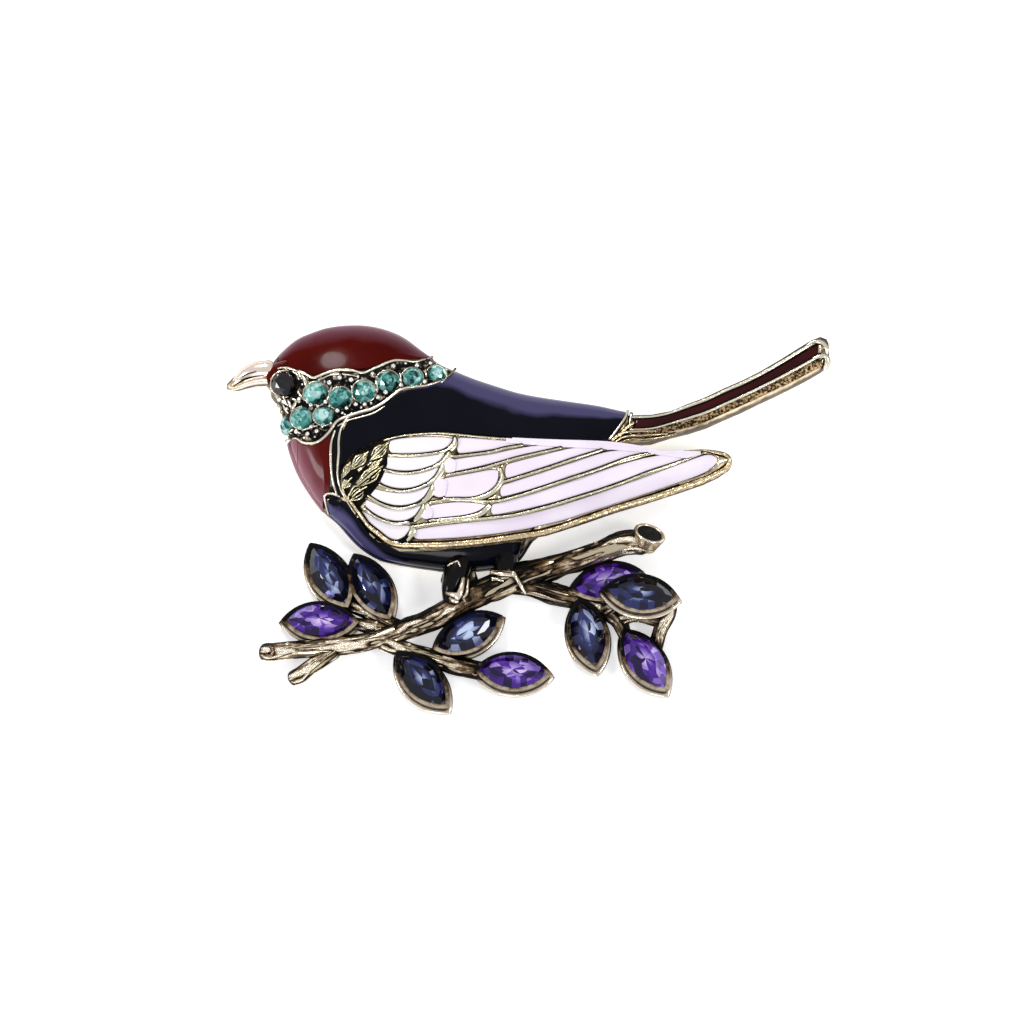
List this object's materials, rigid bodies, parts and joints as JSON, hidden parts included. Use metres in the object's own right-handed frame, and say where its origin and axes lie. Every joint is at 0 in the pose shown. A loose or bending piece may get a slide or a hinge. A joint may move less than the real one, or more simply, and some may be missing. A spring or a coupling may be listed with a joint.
{
  "type": "figural animal brooch",
  "caption": "Cast metal songbird brooch with enamelled body and wing, a stone-set eye band, and a branch with marquise stone leaves below the feet.",
  "frame": {"origin": "centre of the bounding box in plan, on the table that the back lies on", "axes": "+Z out of the brooch's front, +Y towards the bird's crown, +X towards its tail"},
  "size_m": [0.07, 0.0458, 0.0076],
  "materials": {
    "antique_gold": "antique, darkened in the recesses",
    "red_enamel": "glossy",
    "navy_enamel": "glossy",
    "maroon_enamel": "glossy",
    "pale_enamel": "glossy",
    "black_stone": "faceted",
    "teal_stone": "faceted",
    "blue_stone": "faceted",
    "purple_stone": "faceted",
    "pin_metal": "satin"
  },
  "bodies": {
    "root": {"casting": "antique_gold", "crown_enamel": "red_enamel", "breast_enamel": "red_enamel", "back_enamel": "navy_enamel", "belly_enamel": "navy_enamel", "tail_enamel": "maroon_enamel", "short_feather_1": "pale_enamel", "short_feather_2": "pale_enamel", "short_feather_3": "pale_enamel", "short_feather_4": "pale_enamel", "short_feather_5": "pale_enamel", "short_feather_6": "pale_enamel", "long_feather_1": "pale_enamel", "long_feather_2": "pale_enamel", "long_feather_3": "pale_enamel", "long_feather_4": "pale_enamel", "long_feather_5": "pale_enamel", "long_feather_6": "pale_enamel", "long_feather_7": "pale_enamel", "long_feather_8": "pale_enamel", "eye_stone": "black_stone", "teal_stone_1": "teal_stone", "teal_stone_2": "teal_stone", "teal_stone_3": "teal_stone", "teal_stone_4": "teal_stone", "teal_stone_5": "teal_stone", "teal_stone_6": "teal_stone", "teal_stone_7": "teal_stone", "teal_stone_8": "teal_stone", "teal_stone_9": "teal_stone", "leaf_stone_1": "blue_stone", "leaf_stone_2": "blue_stone", "leaf_stone_3": "purple_stone", "leaf_stone_4": "blue_stone", "leaf_stone_5": "blue_stone", "leaf_stone_6": "purple_stone", "leaf_stone_7": "blue_stone", "leaf_stone_8": "purple_stone", "leaf_stone_9": "blue_stone", "leaf_stone_10": "purple_stone", "pin": "pin_metal"}
  },
  "joints": []
}
